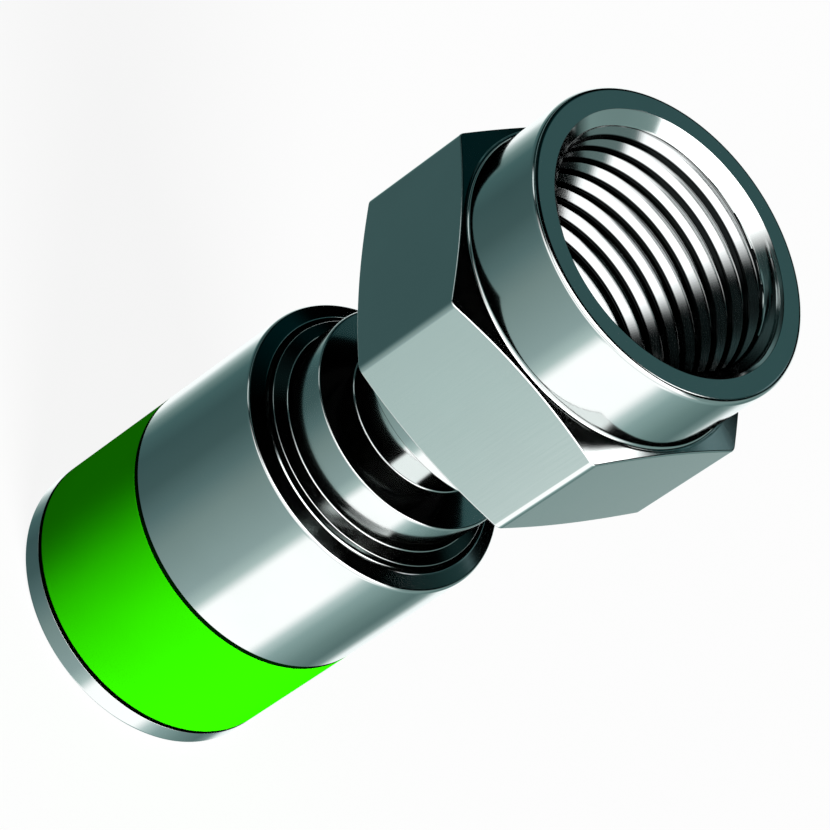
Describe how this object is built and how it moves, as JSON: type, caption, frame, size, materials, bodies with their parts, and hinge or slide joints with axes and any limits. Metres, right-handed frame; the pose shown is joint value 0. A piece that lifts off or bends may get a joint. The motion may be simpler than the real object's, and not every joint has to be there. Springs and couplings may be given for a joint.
{
  "type": "f connector",
  "caption": "Compression coaxial plug: turning hexagonal nut with an internal thread, stepped body, and a long sliding sleeve with a coloured band that grips the cable.",
  "frame": {"origin": "middle of the sleeve's rear rim, on the surface that the part stands on", "axes": "+Z along the connector's axis towards the mouth of the nut; +X through a corner of the hexagon, so the flats face +Y and -Y"},
  "size_m": [0.0138, 0.012, 0.0282],
  "materials": {
    "nut_plating": "bright nickel plating over turned brass",
    "body_plating": "bright nickel plating over turned brass",
    "sleeve_plating": "bright nickel plating over turned brass",
    "post_plating": "satin nickel plating over turned brass",
    "band_green": "glossy green ring, flush with the sleeve",
    "seal_rubber": "black seal rubber",
    "ferrule_plastic": "off-white engineering plastic"
  },
  "bodies": {
    "sleeve": {"compression_sleeve": "sleeve_plating", "color_band": "band_green", "grip_ferrule": "ferrule_plastic"},
    "connector": {"connector_body": "body_plating", "post": "post_plating", "sleeve_seal": "seal_rubber", "nut_seal": "seal_rubber"},
    "nut": {"coupling_nut": "nut_plating"}
  },
  "joints": [
    {"name": "sleeve_push", "type": "slide", "parent": "sleeve", "child": "connector", "axis": [0, 0, -1], "range_m": [0, 0.0046]},
    {"name": "nut_turn", "type": "hinge", "parent": "connector", "child": "nut", "pos_m": [0, 0, 0.0192], "axis": [0, 0, 1], "continuous": true}
  ]
}
